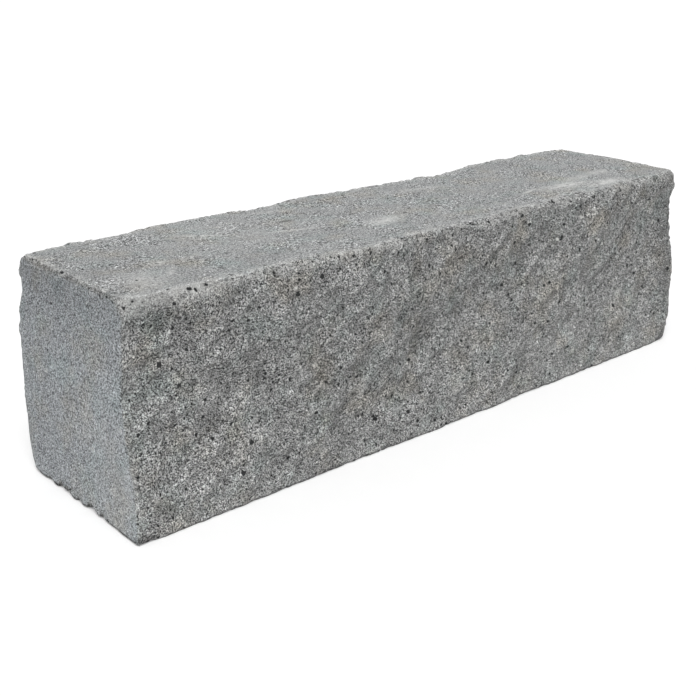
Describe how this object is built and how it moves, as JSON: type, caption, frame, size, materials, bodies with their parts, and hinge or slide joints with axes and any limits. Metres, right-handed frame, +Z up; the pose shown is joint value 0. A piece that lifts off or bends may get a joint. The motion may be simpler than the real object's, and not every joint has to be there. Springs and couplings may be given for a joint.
{
  "type": "split-face concrete walling block",
  "caption": "Long solid concrete walling block with flat cast beds and ends and two rough split faces, worn along its edges.",
  "frame": {"origin": "middle of the bottom bed, midway between the two split faces", "axes": "+X along the block's length, -Y out of the front split face, +Z up, square to the beds"},
  "size_m": [0.6, 0.1663, 0.17],
  "materials": {
    "concrete": "matte"
  },
  "bodies": {
    "root": {"walling_block": "concrete"}
  },
  "joints": []
}
